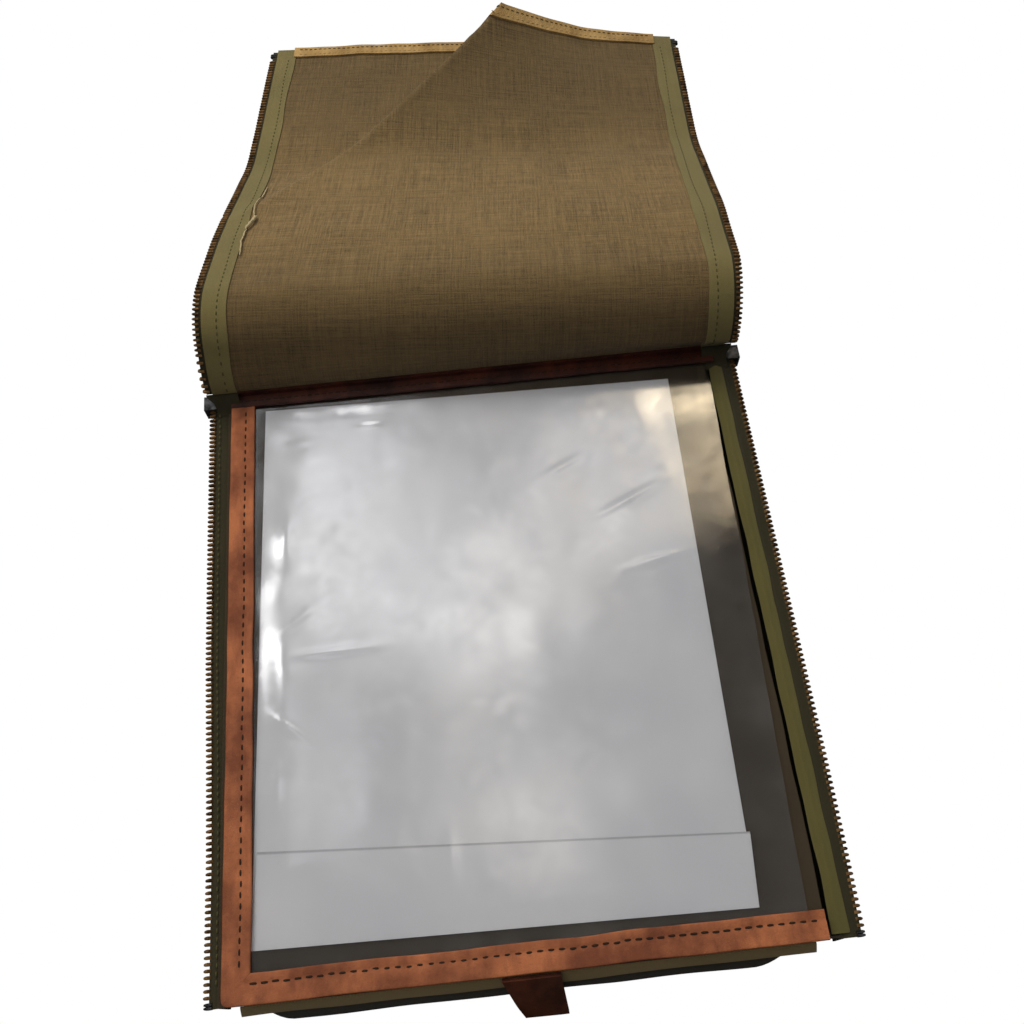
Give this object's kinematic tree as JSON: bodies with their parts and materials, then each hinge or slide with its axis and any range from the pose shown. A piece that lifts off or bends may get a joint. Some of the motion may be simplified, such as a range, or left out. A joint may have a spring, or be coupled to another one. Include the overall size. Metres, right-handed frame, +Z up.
{
  "type": "zip-sided document case",
  "caption": "Flat canvas document case, open: clear window pocket with a sheet of paper, leather trims, brass side zips and a cloth flap rolled back over the spine.",
  "frame": {"origin": "centre of the case's back face, on the surface that the case lies on", "axes": "+X right, +Y from the front edge towards the spine and the rolled-back flap, +Z up out of the window"},
  "size_m": [0.3004, 0.5791, 0.0623],
  "materials": {
    "canvas": "coarse dark olive-brown canvas, worn",
    "lining": "slubby olive-brown linen weave",
    "twill": "dark brown twill, matt",
    "zip_tape": "dark green woven tape",
    "facing_tape": "olive woven tape",
    "zip_brass": "antique brass, dark",
    "slider_metal": "dark worn metal",
    "tan_leather": "orange-tan, polished by wear",
    "dark_leather": "dark reddish brown",
    "suede": "flesh side, napped",
    "clear_vinyl": "clear and glossy, rippled",
    "paper": "plain white"
  },
  "bodies": {
    "case": {"back_panel": "canvas", "front_gusset": "canvas", "front_trim": "tan_leather", "left_gusset": "canvas", "left_trim": "tan_leather", "left_zip_tape": "zip_tape", "left_zip_teeth": "zip_brass", "pocket_panel": "twill", "right_facing_tape": "facing_tape", "right_gusset": "canvas", "right_zip_tape": "zip_tape", "right_zip_teeth": "zip_brass", "spine_strip": "dark_leather", "spine_wall": "canvas", "window_pane": "clear_vinyl", "zip_end_stops": "zip_brass"},
    "flap_root": {"flap_root_cover": "canvas", "flap_root_facing_tapes": "facing_tape", "flap_root_lining": "lining", "flap_root_zip_tapes": "zip_tape", "flap_root_zip_teeth": "zip_brass"},
    "flap_roll": {"flap_roll_cover": "canvas", "flap_roll_facing_tapes": "facing_tape", "flap_roll_lining": "lining", "flap_roll_zip_tapes": "zip_tape", "flap_roll_zip_teeth": "zip_brass"},
    "flap_panel": {"flap_panel_cover": "canvas", "flap_panel_facing_tapes": "facing_tape", "flap_panel_lining": "lining", "flap_panel_zip_tapes": "zip_tape", "flap_panel_zip_teeth": "zip_brass"},
    "flap_end": {"flap_end_cover": "canvas", "flap_end_facing_tapes": "facing_tape", "flap_end_lining": "lining", "flap_end_strip": "suede", "flap_end_zip_tapes": "zip_tape", "flap_end_zip_teeth": "zip_brass", "flap_zip_stops": "zip_brass"},
    "left_slider": {"left_slider": "slider_metal"},
    "right_slider": {"right_slider": "slider_metal"},
    "left_pull": {"left_pull": "slider_metal"},
    "right_pull": {"right_pull": "slider_metal"},
    "paper": {"paper_sheet": "paper"},
    "tab": {"pull_tab": "dark_leather"}
  },
  "joints": [
    {"name": "flap_hinge", "type": "hinge", "parent": "case", "child": "flap_root", "pos_m": [-0.001, 0.1435, 0.0265], "axis": [0.9991, -0.042, 0], "range_deg": [0, 102]},
    {"name": "flap_roll_bend", "type": "hinge", "parent": "flap_root", "child": "flap_roll", "pos_m": [0.00001, 0.14762, 0.04605], "axis": [0.9991, -0.042, 0], "range_deg": [0, 42]},
    {"name": "flap_panel_bend", "type": "hinge", "parent": "flap_roll", "child": "flap_panel", "pos_m": [0.00198, 0.16857, 0.06132], "axis": [0.9991, -0.042, 0], "range_deg": [0, 54]},
    {"name": "flap_end_bend", "type": "hinge", "parent": "flap_panel", "child": "flap_end", "pos_m": [0.01327, 0.29934, 0.01871], "axis": [0.9991, -0.042, 0], "range_deg": [-13, 0]},
    {"name": "left_slider_travel", "type": "slide", "parent": "case", "child": "left_slider", "axis": [0.0141, -0.9999, 0], "range_m": [0, 0.281]},
    {"name": "left_pull_swing", "type": "hinge", "parent": "left_slider", "child": "left_pull", "pos_m": [-0.1366, 0.141, 0.0107], "axis": [0.9999, 0.0141, 0], "range_deg": [-33.97, 0]},
    {"name": "right_slider_travel", "type": "slide", "parent": "case", "child": "right_slider", "axis": [-0.0049, -1, 0], "range_m": [0, 0.281]},
    {"name": "right_pull_swing", "type": "hinge", "parent": "right_slider", "child": "right_pull", "pos_m": [0.1366, 0.141, 0.0107], "axis": [1, -0.0049, 0], "range_deg": [-33.97, 0]},
    {"name": "paper_draw", "type": "slide", "parent": "case", "child": "paper", "axis": [1, 0, 0], "range_m": [0, 0.2]},
    {"name": "tab_lift", "type": "hinge", "parent": "case", "child": "tab", "pos_m": [0, -0.1474, 0.0202], "axis": [-1, 0, 0], "range_deg": [0, 50]}
  ],
  "couplings": [
    {"joint": "flap_roll_bend", "follows": "flap_hinge", "ratio": 0.41176},
    {"joint": "flap_panel_bend", "follows": "flap_hinge", "ratio": 0.52941},
    {"joint": "flap_end_bend", "follows": "flap_hinge", "ratio": -0.12745}
  ]
}
